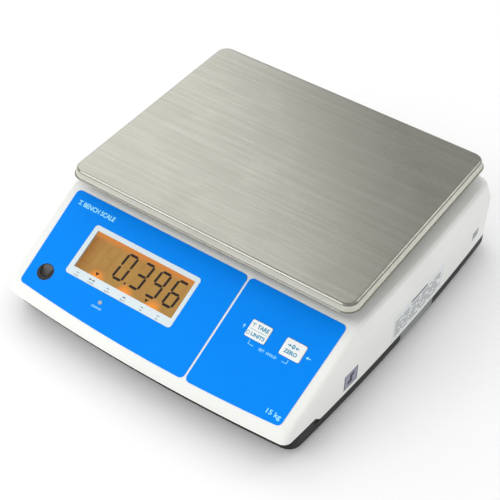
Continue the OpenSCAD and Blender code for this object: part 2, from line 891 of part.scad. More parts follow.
module foot_inserts() {
    color("#c9a24b") for (p = feet_at) translate(p) difference() {
        tube(insert_r, base_z, base_z + insert_h);
        tube(stem_r + running, base_z - eps, base_z + insert_h + eps);
    }
}

// Rubber pad with a socket for the stem's toe
module foot_pad(p) {
    color("#1a1a1a") translate(p) difference() {
        tube(pad_r, 0, pad_h);
        tube(toe_r + running, 1.2, pad_h + eps);
    }
}

// Threaded stem with its thumbwheel and toe
module foot_stem(p) {
    color("#3c3f42") translate(p) {
        tube(toe_r, 1.5, wheel_z);
        difference() {
            tube(wheel_r, wheel_z, wheel_z + wheel_h);
            for (a = [0:30:330]) rotate([0, 0, a]) translate([wheel_r + 0.9, 0])
                tube(1.8, wheel_z - 1, wheel_z + wheel_h + 1, $fn = 16);
        }
        tube(stem_r, wheel_z, stem_top_z);
    }
}

module foot_fl_pad() { foot_pad(feet_at[0]); }
module foot_fr_pad() { foot_pad(feet_at[1]); }
module foot_bl_pad() { foot_pad(feet_at[2]); }
module foot_br_pad() { foot_pad(feet_at[3]); }
module foot_fl_stem() { foot_stem(feet_at[0]); }
module foot_fr_stem() { foot_stem(feet_at[1]); }
module foot_bl_stem() { foot_stem(feet_at[2]); }
module foot_br_stem() { foot_stem(feet_at[3]); }

base_tray();
top_cover();
overlay_left();
overlay_right();
display_window();
display_mask();
lcd_glass();
lcd_backlight();
main_board();
board_screws();
key_switches();
charge_lamp();
level_case();
level_vial();
load_cell();
cell_lower_spacer();
cell_lower_bolts();
overload_stops();
cell_cable();
battery();
cover_screws();
foot_inserts();
dc_inlet();
inlet_nut();
switch_frame();
spider();
spider_posts();
cell_upper_spacer();
cell_upper_bolts();
post_caps();
platter();
platter_cups();
key_tare();
key_zero();
power_rocker();
battery_door();
foot_fl_pad();
foot_fr_pad();
foot_bl_pad();
foot_br_pad();
foot_fl_stem();
foot_fr_stem();
foot_bl_stem();
foot_br_stem();
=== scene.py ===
import json
import math

import bmesh
import bpy
from mathutils import Matrix, Vector


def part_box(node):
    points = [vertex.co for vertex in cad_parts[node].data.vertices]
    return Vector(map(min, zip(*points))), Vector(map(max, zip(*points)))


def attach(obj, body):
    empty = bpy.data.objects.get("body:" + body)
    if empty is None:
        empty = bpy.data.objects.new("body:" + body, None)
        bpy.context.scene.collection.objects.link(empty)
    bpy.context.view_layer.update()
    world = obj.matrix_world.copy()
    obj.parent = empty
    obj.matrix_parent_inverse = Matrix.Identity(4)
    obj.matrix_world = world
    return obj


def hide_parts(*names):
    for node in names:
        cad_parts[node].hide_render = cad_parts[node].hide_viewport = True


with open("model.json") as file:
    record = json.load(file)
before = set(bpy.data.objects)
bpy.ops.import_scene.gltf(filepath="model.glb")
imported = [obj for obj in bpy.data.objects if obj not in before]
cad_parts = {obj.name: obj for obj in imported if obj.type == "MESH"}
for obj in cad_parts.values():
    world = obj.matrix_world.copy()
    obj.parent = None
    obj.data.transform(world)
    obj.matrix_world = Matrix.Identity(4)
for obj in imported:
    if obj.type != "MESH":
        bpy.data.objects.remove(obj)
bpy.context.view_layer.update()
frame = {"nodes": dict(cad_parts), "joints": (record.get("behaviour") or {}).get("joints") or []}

mm = 0.001
nodes = frame["nodes"]


# ---------------------------------------------------------------- finishes
def tint(code):
    """An sRGB hex colour as the linear colour that a shader takes."""
    parts = [int(code[i:i + 2], 16) / 255 for i in (1, 3, 5)]
    return (*[c / 12.92 if c <= 0.04045 else ((c + 0.055) / 1.055) ** 2.4 for c in parts], 1)


def add(mat, kind, plugs=None, **settings):
    """Adds a node with its settings, and its inputs as values or as links from other nodes."""
    node = mat.node_tree.nodes.new("ShaderNode" + kind)
    for key, value in settings.items():
        setattr(node, key, value)
    for plug, value in (plugs or {}).items():
        if isinstance(value, bpy.types.NodeSocket):
            mat.node_tree.links.new(value, node.inputs[plug])
        else:
            node.inputs[plug].default_value = value
    return node


def finish(name, even):
    """A new material and its shader, with the values that are the same all over."""
    mat = bpy.data.materials.new(name)
    mat.use_nodes = True
    skin = mat.node_tree.nodes["Principled BSDF"]
    for plug, value in even.items():
        skin.inputs[plug].default_value = value
    return mat, skin


def plug_in(mat, skin, links):
    """Links patterns to inputs of the shader."""
    for plug, socket in links.items():
        mat.node_tree.links.new(socket, skin.inputs[plug])


def surface(name, main, other, grain, depth, rough, drift=70 * mm, stretch=(1, 1, 1), **even):
    """A finish whose colour drifts slowly between two shades, with a fine grain of the given
    size and depth in its relief and its gloss. stretch draws the grain out along an axis."""
    mat, skin = finish(name, {k.replace("_", " "): v for k, v in even.items()})
    spot = add(mat, "TexCoord").outputs["Object"]
    drawn = add(mat, "Mapping", {"Vector": spot, "Scale": stretch}).outputs[0]
    fine = add(mat, "TexNoise", {"Vector": drawn, "Scale": 1 / grain, "Detail": 4,
                                 "Roughness": 0.6}).outputs[0]
    slow = add(mat, "TexNoise", {"Vector": spot, "Scale": 1 / drift, "Detail": 3}).outputs[0]
    both = add(mat, "Math", {0: slow, 1: fine}, operation="ADD").outputs[0]
    amount = add(mat, "MapRange", {"Value": both, "From Min": 0.75, "From Max": 1.25}).outputs[0]
    colour = add(mat, "Mix", {0: amount, 6: tint(main), 7: tint(other)},
                 data_type="RGBA").outputs[2]
    gloss = add(mat, "MapRange", {"Value": both, "From Min": 0.7, "From Max": 1.3,
                                  "To Min": rough[0], "To Max": rough[1]}).outputs[0]
    relief = add(mat, "Bump", {"Height": fine, "Strength": 0.6, "Distance": depth}).outputs[0]
    plug_in(mat, skin, {"Base Color": colour, "Roughness": gloss, "Normal": relief})
    return mat


# Moulded ABS, off-white: a satin spark-eroded skin, 0.5 mm grain, hardly any colour drift.
white_abs = surface("off_white_moulded_abs", "#EDEEEA", "#E6E7E3", 0.5 * mm, 0.02 * mm, (0.36, 0.5),
                    Specular_IOR_Level=0.45)
# The same ABS in black: the coarser texture of a base moulding, greying where the grain is high.
black_abs = surface("black_moulded_abs", "#0D0D0E", "#161617", 0.7 * mm, 0.05 * mm, (0.45, 0.65),
                    Specular_IOR_Level=0.35)
# Polyester film printed blue from behind, with a velvet-grained face.
blue_film = surface("blue_printed_polyester", "#0084F0", "#0087F2", 0.35 * mm, 0.008 * mm,
                    (0.36, 0.48), drift=40 * mm, Specular_IOR_Level=0.06)
# White ink screened on the back of the window.
white_ink = surface("white_screened_ink", "#D9E5E9", "#D2DFE4", 0.4 * mm, 0.004 * mm, (0.4, 0.55))
# Pale ink for the marks on the blue film.
pale_ink = surface("pale_blue_screened_ink", "#A4ECFF", "#94E6FF", 0.4 * mm, 0.004 * mm, (0.4, 0.5))
# Grey ink of the small signs round the display.
grey_ink = surface("grey_screened_ink", "#6E7F88", "#84949C", 0.4 * mm, 0.004 * mm, (0.4, 0.55))
# Blue-grey ink on the keys.
key_ink = surface("teal_key_ink", "#2F8CB0", "#4A9DBC", 0.4 * mm, 0.004 * mm, (0.4, 0.55))
# Silicone-topped key caps, soft and slightly glossy.
key_white = surface("white_moulded_keycap", "#F3F6F4", "#E9EDEB", 0.4 * mm, 0.01 * mm, (0.3, 0.42))
# Dark liquid-crystal segments: dead matt seen through glass.
dark_crystal = surface("dark_crystal_segment", "#21150B", "#2E1E10", 0.6 * mm, 0.002 * mm,
                       (0.5, 0.6))
# Coated paper labels: a low sheen, faintly mottled. The small square one has gone dull.
label_paper = surface("coated_label_paper", "#E3E6E6", "#DBDFE0", 0.6 * mm, 0.01 * mm, (0.42, 0.55))
label_dull = surface("dull_grey_label_paper", "#9A9BAE", "#8C8DA2", 0.6 * mm, 0.01 * mm,
                     (0.42, 0.55))
# Charcoal ink of the labels' bars, and the grey tail that hangs over the seam.
label_ink = surface("charcoal_label_ink", "#1E2126", "#2C2F36", 0.4 * mm, 0.004 * mm, (0.45, 0.55))
label_grey = surface("grey_label_tail", "#85888A", "#7A7D80", 0.6 * mm, 0.01 * mm, (0.42, 0.55))
# Nitrile rubber of feet and caps: dusty, matt, fine-grained.
rubber = surface("black_nitrile_rubber", "#141414", "#222221", 0.8 * mm, 0.04 * mm, (0.62, 0.8))
# Zinc-plated screws and nuts: bright, with a bluish passivation.
zinc = surface("zinc_plated_steel", "#B9BCC0", "#A2A6AE", 1.2 * mm, 0.01 * mm, (0.24, 0.4),
               Metallic=1)
# Load cell, milled from bar: bright, with cutter lines drawn out along X.
milled = surface("milled_aluminium", "#C9CACA", "#B7B9BA", 0.5 * mm, 0.02 * mm, (0.25, 0.42),
                 stretch=(0.06, 1, 1), Metallic=1)
# Spider and posts, die-cast: a dull grey skin with a coarse flow grain.
cast = surface("die_cast_aluminium", "#9FA2A4", "#8C8F92", 1.6 * mm, 0.08 * mm, (0.42, 0.62),
               Metallic=1)
# Blackened screws: almost black, with a thin oily gloss.
dark_steel = surface("blackened_steel", "#26272A", "#34363A", 0.9 * mm, 0.02 * mm, (0.32, 0.5),
                     Metallic=1)
# Turned brass inserts: warm and bright.
brass = surface("turned_brass", "#C9A35A", "#B48D46", 0.6 * mm, 0.02 * mm, (0.25, 0.4), Metallic=1)
# Solder mask over copper: a glossy green that lightens where the tracks run under it.
green_board = surface("green_solder_mask", "#1F5E3A", "#2B7247", 3 * mm, 0.06 * mm, (0.3, 0.45),
                      drift=12 * mm)
# Extruded PVC jacket of the load cell's cable, mid grey and dull.
cable_grey = surface("grey_pvc_jacket", "#6B6D70", "#787A7D", 0.8 * mm, 0.02 * mm, (0.45, 0.6))
# The battery's case: dark grey ABS with a coarse moulded grain.
battery_grey = surface("battery_case_abs", "#3A3C40", "#47494E", 1.0 * mm, 0.05 * mm, (0.45, 0.6))
# Rocker, inlet and level case: polished black ABS.
gloss_black = surface("gloss_black_abs", "#151516", "#1D1D1F", 0.8 * mm, 0.01 * mm, (0.2, 0.32))
# The lamp's lens: milky and glossy, a little light goes through.
lens = surface("milky_lamp_lens", "#C6D2D6", "#B2C2C8", 0.6 * mm, 0.004 * mm, (0.15, 0.25),
               Transmission_Weight=0.3)
# The paper sweep under the scale: white, dead matt.
paper = surface("matt_white_sweep", "#FEFEFE", "#FAFAFA", 2 * mm, 0.02 * mm, (0.75, 0.85),
                drift=400 * mm, Specular_IOR_Level=0.1)


def brushed_stainless():
    """Rolled and brushed stainless sheet: hairlines along X, about 0.4 mm apart so that they
    show, a slow ripple from pressing, and faint smears left by wiping."""
    mat, skin = finish("brushed_stainless_steel", {"Metallic": 1})
    spot = add(mat, "TexCoord").outputs["Object"]
    along = add(mat, "Mapping", {"Vector": spot, "Scale": (0.012, 1, 1)}).outputs[0]
    hair = add(mat, "TexNoise", {"Vector": along, "Scale": 1 / (0.4 * mm), "Detail": 3}).outputs[0]
    band = add(mat, "TexNoise", {"Vector": along, "Scale": 1 / (5 * mm), "Detail": 4}).outputs[0]
    wipe = add(mat, "TexNoise", {"Vector": spot, "Scale": 1 / (60 * mm), "Detail": 4,
                                 "Distortion": 0.6}).outputs[0]
    both = add(mat, "Math", {0: hair, 1: band}, operation="ADD").outputs[0]
    amount = add(mat, "MapRange", {"Value": both, "From Min": 0.7, "From Max": 1.3}).outputs[0]
    colour = add(mat, "Mix", {0: amount, 6: tint("#D3D2C8"), 7: tint("#C3C2B6")},
                 data_type="RGBA").outputs[2]
    worn = add(mat, "Math", {0: wipe, 1: hair}, operation="ADD").outputs[0]
    gloss = add(mat, "MapRange", {"Value": worn, "From Min": 0.7, "From Max": 1.3,
                                  "To Min": 0.25, "To Max": 0.36}).outputs[0]
    relief = add(mat, "Bump", {"Height": both, "Strength": 0.25, "Distance": 0.02 * mm}).outputs[0]
    plug_in(mat, skin, {"Base Color": colour, "Roughness": gloss, "Normal": relief})
    return mat


steel = brushed_stainless()

# ---------------------------------------------------------------- places taken from the CAD frame
key_axis = [j["axis"] for j in frame["joints"] if j["name"] == "tare_press"][0]
slope = math.atan2(key_axis[1], -key_axis[2])
sin_p, cos_p = math.sin(slope), math.cos(slope)
film_depth = 0.4  # the film's thickness in millimetres
film_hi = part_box("overlay_left")[1]
panel_y = film_hi.y - film_depth * mm * sin_p
panel_z = film_hi.z
# Places on the panel are (x, how far down the slope, how far above the film), in millimetres.
panel = Matrix.Translation((0, panel_y, panel_z)) @ Matrix.Rotation(slope, 4, "X")

cover_lo, cover_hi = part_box("top_cover")
deck_z = cover_hi.z
back_y = cover_hi.y
front_y = cover_lo.y
half_w = cover_hi.x
# The side walls and the front wall bow outwards as shallow parabolas; the sides are widest
# at side_mid.
side_bow, side_mid, front_bow = 4900 * mm, 81 * mm, 3400 * mm
# The cover's lower edge, and its height across the front.
seam_z, front_seam_z = cover_lo.z, 25.7 * mm
ridge_drop = 17.5
brow_z, brow_lean = 79.7, 0.9


def on_panel(x, s, n=0):
    """A place on the panel, in metres."""
    return panel @ Vector((x * mm, -s * mm, n * mm))


def panel_height(y):
    """The height of the cover's sloping panel, under the film, at y."""
    top = on_panel(0, 0, -film_depth)
    return top.z + (y - top.y) * sin_p / cos_p


# Where the panel meets the deck.
crease_y = (panel_y + film_depth * mm * sin_p
            + (deck_z - on_panel(0, 0, -film_depth).z) * cos_p / sin_p)


def side_x(y):
    """How far out the side wall stands at y, below the ridge."""
    return half_w - (y - side_mid) ** 2 / side_bow


def step_through(marks, at):
    """A value between the marks (place, value), straight from one to the next."""
    for (a, va), (b, vb) in zip(marks, marks[1:]):
        if at >= b:
            return vb + (va - vb) * min(1, (at - b) / (a - b))
    return marks[-1][1]


def shoulder_z(y):
    """The height of the ridge along the side: level beside the deck, then closing on the
    panel's edge towards the front."""
    if y >= crease_y:
        return deck_z - ridge_drop * mm
    below = step_through([(-61, ridge_drop), (-80, 10.5), (-95, 7.8), (-118, 4.8), (-150, 3.0)],
                         y / mm)
    return panel_height(y) - below * mm


def shoulder(y, z):
    """How far the side and back walls lean in above the ridge, with a brow just under the deck."""
    above = max(0, z - shoulder_z(y)) / mm
    steep = 0.25
    if y < crease_y:
        steep = step_through([(-61, 0.25), (-80, 0.36), (-118, 0.42), (-150, 0.35)], y / mm)
    return (above * steep + max(0, z / mm - brow_z) * brow_lean) * mm


# ---------------------------------------------------------------- bench work
def idle():
    """Leaves edit mode, with nothing selected."""
    if bpy.context.object and bpy.context.object.mode != "OBJECT":
        bpy.ops.object.mode_set(mode="OBJECT")
    bpy.ops.object.select_all(action="DESELECT")


def take(piece):
    """Selects one piece alone and makes it active."""
    idle()
    piece.select_set(True)
    bpy.context.view_layer.objects.active = piece
    return piece


def start(shape, name, **size):
    """Adds a primitive at its size and place."""
    idle()
    getattr(bpy.ops.mesh, f"primitive_{shape}_add")(**size)
    piece = bpy.context.object
    piece.name = piece.data.name = name
    return piece


def edit(piece, kind="FACE"):
    """Opens a piece in edit mode."""
    take(piece)
    bpy.ops.object.mode_set(mode="EDIT")
    bpy.ops.mesh.select_mode(type=kind)


def pick(piece, kind, test):
    """Selects the vertices, edges or faces that pass the test, and nothing else."""
    edit(piece, {"verts": "VERT", "edges": "EDGE", "faces": "FACE"}[kind])
    bpy.ops.mesh.select_all(action="DESELECT")
    mesh = bmesh.from_edit_mesh(piece.data)
    for element in getattr(mesh, kind):
        if test(element):
            element.select_set(True)
    mesh.select_flush_mode()
    bmesh.update_edit_mesh(piece.data)


def apply(piece, kind, **settings):
    """Gives the piece a modifier and applies it at once."""
    take(piece)
    step = piece.modifiers.new(kind.lower(), kind)
    for key, value in settings.items():
        setattr(step, key, value)
    bpy.ops.object.modifier_apply(modifier=step.name)


def cut(piece, *tools):
    """Cuts the tools' shapes out of the piece and clears them away."""
    for tool in tools:
        apply(piece, "BOOLEAN", operation="DIFFERENCE", solver="EXACT", object=tool)
        bpy.data.objects.remove(tool)


def join(name, pieces):
    """Makes one piece of several."""
    idle()
    for piece in pieces:
        piece.select_set(True)
    bpy.context.view_layer.objects.active = pieces[0]
    bpy.ops.object.join()
    pieces[0].name = pieces[0].data.name = name
    return pieces[0]


def place(piece, where):
    """Moves the piece by a matrix and settles the move in its mesh."""
    take(piece)
    piece.matrix_world = where @ piece.matrix_world
    bpy.ops.object.transform_apply(location=True, rotation=True, scale=True)
    return piece


def done(piece, body, material, stands_for=(), soften=32, weigh=True):
    """Settles a piece's place in its mesh, smooths it, gives it its finish and its body, and
    hides the CAD nodes that it stands for."""
    take(piece)
    bpy.ops.object.transform_apply(location=True, rotation=True, scale=True)
    bpy.ops.object.shade_smooth_by_angle(angle=math.radians(soften))
    if weigh:
        apply(piece, "WEIGHTED_NORMAL", keep_sharp=True)
    piece.data.materials.clear()
    piece.data.materials.append(material)
    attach(piece, body)
    if stands_for:
        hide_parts(*stands_for)
    return piece


def ring_form(name, rings, caps=None, foot=False):
    """Draws a form up ring by ring: a circle is laid on the first outline, its loop is
    extruded, and each new loop is laid on the next outline. caps lists the runs of the last
    ring's points that are closed with a face; foot closes the first ring."""
    piece = start("circle", name, vertices=len(rings[0]), radius=0.1, fill_type="NOTHING")
    edit(piece, "VERT")
    mesh = bmesh.from_edit_mesh(piece.data)
    mesh.verts.ensure_lookup_table()
    order = {v.index: k for k, v in enumerate(mesh.verts)}
    for k, v in enumerate(mesh.verts):
        v.co = rings[0][k]
    bmesh.update_edit_mesh(piece.data)
    bpy.ops.mesh.select_all(action="SELECT")
    if foot:
        bpy.ops.mesh.edge_face_add()
        bpy.ops.mesh.select_mode(type="EDGE")
        mesh = bmesh.from_edit_mesh(piece.data)
        for f in mesh.faces:
            f.select_set(False)
        for e in mesh.edges:
            e.select_set(True)
    for ring in rings[1:]:
        bpy.ops.mesh.select_mode(type="EDGE")
        bpy.ops.mesh.extrude_edges_move()
        mesh = bmesh.from_edit_mesh(piece.data)
        mesh.verts.index_update()
        fresh = {}
        for v in mesh.verts:
            if v.select:
                old = [e.other_vert(v) for e in v.link_edges if not e.other_vert(v).select][0]
                fresh[v.index] = order[old.index]
        mesh.verts.ensure_lookup_table()
        for index, k in fresh.items():
            mesh.verts[index].co = ring[k]
        order = fresh
        bmesh.update_edit_mesh(piece.data)
    for run in caps if caps is not None else [range(len(rings[0]))]:
        wanted = {i for i, k in order.items() if k in run}
        pick(piece, "verts", lambda v: v.index in wanted)
        bpy.ops.mesh.edge_face_add()
    bpy.ops.mesh.select_all(action="SELECT")
    bpy.ops.mesh.normals_make_consistent(inside=False)
    idle()
    return piece


def plate_outline(half_x, half_y, r, centre, z, arc=8):
    """A rectangle with round corners, counter-clockwise, with a few points on each side."""
    points = []
    for quarter in range(4):
        mid = Vector(((half_x - r) * (1, -1, -1, 1)[quarter],
                      (half_y - r) * (1, 1, -1, -1)[quarter]))
        for k in range(arc + 1):
            a = math.pi / 2 * (quarter + k / arc)
            points.append(Vector((centre[0] + mid.x + r * math.cos(a),
                                  centre[1] + mid.y + r * math.sin(a), z)))
    return points


# ---------------------------------------------------------------- cover
def corner_arc(r, y_of, y_slope, steps, start_guess):
    """The points of a round corner between the bowed side and a front or back line."""
    x, y = start_guess
    for _ in range(40):
        tilt = 2 * (y - side_mid) / side_bow
        n_side = Vector((1, tilt)).normalized()
        n_end = Vector((-y_slope(x), 1) if y_of(0) > 0 else (y_slope(x), -1)).normalized()
        cx = side_x(y) - r * n_side.x
        x = cx + r * n_end.x
        cy = y_of(x) - r * n_end.y
        y = cy + r * n_side.y
    a0, a1 = math.atan2(n_end.y, n_end.x), math.atan2(n_side.y, n_side.x)
    turns = [a0 + (a1 - a0) * k / steps for k in range(steps + 1)]
    return [(cx + r * math.cos(a), cy + r * math.sin(a)) for a in turns]


nose_r, tail_r = 8 * mm, 12 * mm


def half_outline():
    """The right half of the cover's plan from the middle of the front to the middle of the
    back: (x, y, leans in with the side, with the front, with the back). The points on the
    side lie close together where the seam sweeps up."""
    front = [(x * mm, front_y + (x * mm) ** 2 / front_bow) for x in range(0, 133, 11)]
    nose = corner_arc(nose_r, lambda x: front_y + x * x / front_bow, lambda x: 2 * x / front_bow,
                      8, (140 * mm, -152 * mm))
    marks = [-138, -131, -127, -124.5, -123.5, -122.5, -121.5, -120.5, -119.5, -118.5, -117.5,
             -116.5, -115, -108, -98, -88, -78, -69, crease_y / mm, -55, -40, -20, 0, 20, 40, 60,
             80, 100, 120, 138]
    side = [(side_x(y * mm), y * mm) for y in marks]
    tail = corner_arc(tail_r, lambda x: back_y, lambda x: 0, 8, (146 * mm, 155 * mm))[::-1]
    back = [(x * mm, back_y) for x in range(132, -1, -22)]
    return ([(x, y, 0, 1, 0) for x, y in front] + [(x, y, 1, 1, 0) for x, y in nose]
            + [(x, y, 1, 0, 0) for x, y in side] + [(x, y, 1, 0, 1) for x, y in tail]
            + [(x, y, 0, 0, 1) for x, y in back])


def ease(t):
    """A smooth step from 0 to 1."""
    t = min(1, max(0, t))
    return t * t * (3 - 2 * t)


sweep_y, sweep_len = -115.5 * mm, 8.5 * mm


def seam_height(y):
    """The cover's lower edge: low along the sides, swept up round the front corners."""
    return seam_z + (front_seam_z - seam_z) * ease((sweep_y - y) / sweep_len)


right = half_outline()
left = [(-x, y, a, b, c) for x, y, a, b, c in right[::-1] if x > 1e-6]
plan = right + left
front_lean = 5.5 * mm
deck_round, cheek_round, nose_round = 2.8 * mm, 3.3 * mm, 0.5 * mm
# The front edge softens from here outwards, over this length.
film_end, softening = 136 * mm, 9 * mm
cover_wall, crease_round = 2.2 * mm, 3 * mm


def edge_round(x, y, with_front):
    """The radius of the cover's upper edge: soft round the deck and the cheeks, crisp at the
    nose, where the film reaches the edge."""
    if y >= crease_y:
        return deck_round
    soft = min(cheek_round, 0.75 * (panel_height(y) - shoulder_z(y)))
    if not with_front:
        return soft
    return nose_round + (soft - nose_round) * ease((abs(x) - film_end) / softening)


def cover_ring(part, t, tuck=0.0):
    """One loop of the cover: at a share t of the wall below the ridge, of the shoulder above
    it, or of the rounding of the upper edge. tuck draws the loop in a little."""
    ring = []
    for x, y, with_side, with_front, with_back in plan:
        sign = 1 if x > 0 else -1
        low = seam_height(y) if not with_front else front_seam_z
        y_top = y + with_front * front_lean
        on_deck = y_top >= crease_y - 1e-6
        high = deck_z if on_deck else panel_height(y_top)
        drop = deck_z - shoulder_z(0) if on_deck else panel_height(y) - shoulder_z(y)
        ridge = high - drop
        r = edge_round(x, y, with_front)
        turn = math.pi / 2 * t
        z = {"wall": low + (ridge - low) * t, "shoulder": ridge + (high - r - ridge) * t,
             "round": high - r * (1 - math.sin(turn))}[part]
        rolled = r * (1 - math.cos(turn)) if part == "round" else 0
        lean = shoulder(y_top, z) + rolled + tuck
        leans_back = front_lean * (z - low) / (high - low) + rolled + tuck
        y_now = y + with_front * leans_back - with_back * lean
        if part == "round" and with_front:
            z += (panel_height(y_now) - high) * t
        ring.append(Vector((x - sign * with_side * lean, y_now, z)))
    return ring


rings = [cover_ring("wall", 0, 0.45 * mm)]
rings += [cover_ring("wall", t) for t in (0.008, 0.03, 0.25, 0.5, 0.75, 0.96)]
rings += [cover_ring("shoulder", t) for t in (0, 0.08, 0.5, 1)]
rings += [cover_ring("round", t) for t in (0.2, 0.4, 0.6, 0.8, 1)]
deck_run = [k for k, p in enumerate(rings[-1]) if p.y > crease_y - 1e-5]
panel_run = [k for k, p in enumerate(rings[-1]) if p.y < crease_y + 1e-5]
cover = ring_form("cover_shell", rings, caps=[deck_run, panel_run])

# The crease between deck and panel is eased.
pick(cover, "edges",
     lambda e: len(e.link_faces) == 2 and all(len(f.verts) > 8 for f in e.link_faces))
bpy.ops.mesh.bevel(offset=crease_round, segments=5)
apply(cover, "SOLIDIFY", thickness=cover_wall, offset=-1, use_even_offset=True)


def panel_block(name, x, s, w, h, n0, n1, r=0.0):
    """A block with round corners, set square on the panel, from n0 to n1 above the film."""
    loops = [[panel @ p for p in plate_outline(w / 2 * mm, h / 2 * mm, r * mm,
                                               (x * mm, -s * mm), n * mm, arc=4)]
             for n in (n0, n1)]
    return ring_form(name, loops, foot=True)


def panel_drum(name, x, s, r, n0, n1):
    """A round bar, set square on the panel, from n0 to n1 above the film."""
    drum = start("cylinder", name, vertices=48, radius=r * mm, depth=(n1 - n0) * mm)
    return place(drum, panel @ Matrix.Translation((x * mm, -s * mm, (n0 + n1) / 2 * mm)))


# The openings in the panel, with a little clearance round what stands in them.
window_at, window_size = (-47.55, 46.6), (114.7, 50.6)
keys = {"tare": ((78.7, 38.5), "key_tare", "tare_key"),
        "zero": ((112.5, 38.6), "key_zero", "zero_key")}
key_w, key_h = 19.6, 15.8
lamp_at, level_at = (-58.4, 81), (-120.2, 80.5)
tools = [panel_block("window_tool", *window_at, window_size[0] + 0.3, window_size[1] + 0.3,
                     -7, 3, r=3.1),
         panel_drum("lamp_tool", *lamp_at, 2.05, -8, 3),
         panel_drum("level_tool", *level_at, 8.05, -8, 3)]
for (x, s), *_ in keys.values():
    tools.append(panel_block("key_tool", x, s, key_w + 0.6, key_h + 0.6, -7, 3, r=1.8))
post_lo, post_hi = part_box("spider_posts")
post_r, post_hole_r = 6 * mm, 10.5 * mm
post_mid_y, post_half_y = (post_lo.y + post_hi.y) / 2, (post_hi.y - post_lo.y) / 2 - post_r
for sx in (-1, 1):
    for sy in (-1, 1):
        tools.append(start("cylinder", "post_tool", vertices=40, radius=post_hole_r, depth=12 * mm,
                           location=(sx * (post_hi.x - post_r), post_mid_y + sy * post_half_y,
                                     deck_z)))
inlet_lo, inlet_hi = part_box("dc_inlet")
inlet_x, inlet_z = (inlet_lo.x + inlet_hi.x) / 2, (inlet_lo.z + inlet_hi.z) / 2
pocket = (34 * mm, 7 * mm, 20 * mm)
pocket_wall, pocket_round = 1.6 * mm, 1.6 * mm
tools.append(start("cube", "pocket_tool", size=1, scale=(pocket[0], 20 * mm, pocket[2]),
                   location=(inlet_x, back_y, inlet_z)))
cut(cover, *tools)
done(cover, "housing", white_abs, ["top_cover"], soften=35)

# The recess round the power inlet: a blind pocket let into the back wall.
recess = start("cube", "inlet_recess", size=1, scale=pocket,
               location=(inlet_x, back_y - pocket[1] / 2 - 0.05 * mm, inlet_z))
take(recess)
bpy.ops.object.transform_apply(location=True, rotation=True, scale=True)
pick(recess, "faces", lambda f: f.normal.y > 0.5)
bpy.ops.mesh.delete(type="FACE")
pick(recess, "edges",
     lambda e: not e.is_boundary and min(v.co.y for v in e.verts) < back_y - 6 * mm)
bpy.ops.mesh.bevel(offset=pocket_round, segments=3)
bpy.ops.mesh.select_all(action="SELECT")
bpy.ops.mesh.flip_normals()
apply(recess, "SOLIDIFY", thickness=pocket_wall, offset=-1)
done(recess, "housing", white_abs)

# The black humps that fill the sweep of the seam behind the front corners.
hump_x, hump_y, hump_size = 150 * mm, -119.6 * mm, (3 * mm, 9 * mm, 6.5 * mm)
humps = []
for sign in (-1, 1):
    hump = start("cube", "seam_hump", size=1, scale=hump_size,
                 location=(sign * hump_x, hump_y, seam_z + hump_size[2] / 2))
    take(hump)
    bpy.ops.object.transform_apply(location=True, rotation=True, scale=True)
    edit(hump, "EDGE")
    bpy.ops.mesh.select_all(action="SELECT")
    bpy.ops.mesh.subdivide(number_cuts=9)
    mesh = bmesh.from_edit_mesh(hump.data)
    for v in mesh.verts:
        share = (v.co.z - seam_z) / hump_size[2]
        depth = abs(v.co.x) - (hump_x - hump_size[0] / 2)
        v.co.z = seam_z - 0.4 * mm + share * (seam_height(v.co.y) - seam_z + 0.3 * mm)
        v.co.x = sign * (side_x(v.co.y) - 3.6 * mm + depth)
    bmesh.update_edit_mesh(hump.data)
    idle()
    humps.append(hump)
done(join("seam_humps", humps), "housing", black_abs)

# ---------------------------------------------------------------- platter
pan_lo, pan_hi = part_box("platter")
pan_mid = ((pan_lo.x + pan_hi.x) / 2, (pan_lo.y + pan_hi.y) / 2)
pan_top, pan_low = pan_hi.z, pan_lo.z
flare = 2 * mm
pan_half = ((pan_hi.x - pan_lo.x) / 2 - flare, (pan_hi.y - pan_lo.y) / 2 - flare)


# The radius of the bend and of the corners, in millimetres, and the thickness of the sheet.
bend, pan_corner, pan_sheet = 3.0, 11, 1.2 * mm


def pan_ring(out, z):
    """The platter's outline at height z, set out from where its skirt starts."""
    return plate_outline(pan_half[0] + out * mm, pan_half[1] + out * mm, (pan_corner + out) * mm,
                         pan_mid, z, arc=12)


# From the rolled hem up the flared skirt, round the bend and in over the flat: (out, height).
profile = [(1.55, pan_low + 0.5 * mm), (1.85, pan_low + 0.1 * mm), (1.98, pan_low + 0.25 * mm),
           (1.92, pan_low + 0.6 * mm), (1.45, pan_low + 2.2 * mm), (0.75, pan_low + 4.6 * mm)]
for k in range(8):
    a = math.pi / 2 * k / 7
    profile.append((0.36 - bend + bend * math.cos(a), pan_top - bend * mm * (1 - math.sin(a))))
profile += [(-4.5, pan_top), (-8, pan_top)]
sheet = ring_form("platter_sheet", [pan_ring(o, z) for o, z in profile])
apply(sheet, "SOLIDIFY", thickness=pan_sheet, offset=-1, use_even_offset=True)
done(sheet, "platter", steel, ["platter"], soften=40)

# ---------------------------------------------------------------- keys
def key_cap(name, at, node, body):
    """A keycap with a soft crowned edge, and the flange that keeps it in the cover. Its steps
    are (how far out, corner radius, height above the film)."""
    x, s = at
    steps = [(1.4, 1.2, -4.2), (1.4, 1.2, -3.4), (0, 1.2, -3.4), (0, 1.5, 0.1), (-0.12, 1.5, 0.42),
             (-0.4, 1.4, 0.62), (-0.9, 1.2, 0.7)]
    loops = [[panel @ p for p in plate_outline((key_w / 2 + o) * mm, (key_h / 2 + o) * mm, r * mm,
                                               (x * mm, -s * mm), n * mm, arc=5)]
             for o, r, n in steps]
    cap = ring_form(name, loops, foot=True)
    return done(cap, body, key_white, [node], soften=40)


for name, (at, node, body) in keys.items():
    key_cap(f"{name}_keycap", at, node, body)


# ---------------------------------------------------------------- print and legends
ink = 0.04  # the thickness of the print, in millimetres


